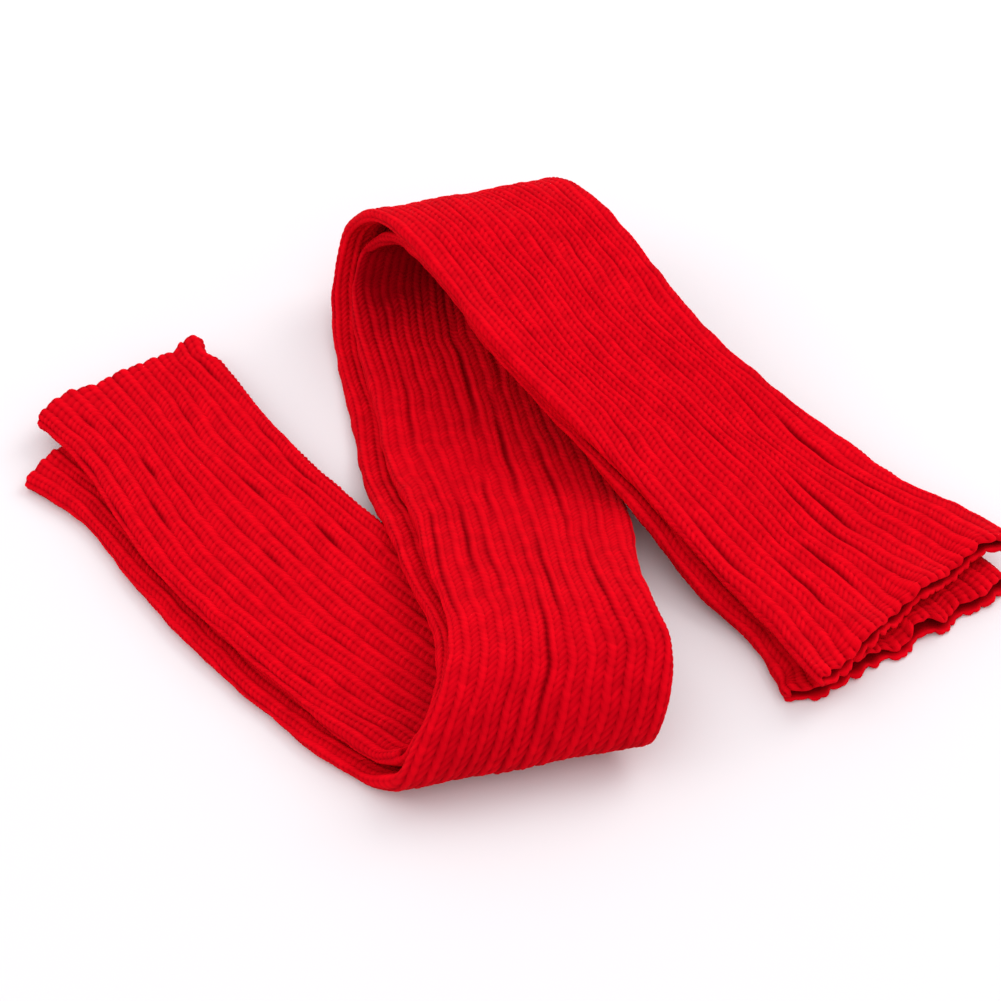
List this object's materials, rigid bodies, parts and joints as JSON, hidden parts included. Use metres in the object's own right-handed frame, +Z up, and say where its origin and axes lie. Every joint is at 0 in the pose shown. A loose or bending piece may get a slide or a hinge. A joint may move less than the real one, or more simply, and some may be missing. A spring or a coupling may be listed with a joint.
{
  "type": "pair of footless thigh-high socks",
  "caption": "Pair of thick rib-knit footless thigh-high socks, open at both ends, pressed flat, laid on each other and folded together in a Z on a surface.",
  "frame": {"origin": "middle of the folded pair's outline, on the surface it lies on", "axes": "+Z up from the surface; +X from the left-hand ends to the right-hand ends; +Y from the near fold to the far fold"},
  "size_m": [0.3663, 0.2925, 0.0542],
  "materials": {
    "rib_knit_a": "chunky 1x1 rib knit in bright red acrylic yarn, matt and slightly fuzzy",
    "rib_knit_b": "chunky 1x1 rib knit in bright red acrylic yarn, matt and slightly fuzzy"
  },
  "bodies": {
    "root": {"sock_a": "rib_knit_a", "sock_b": "rib_knit_b"}
  },
  "joints": []
}
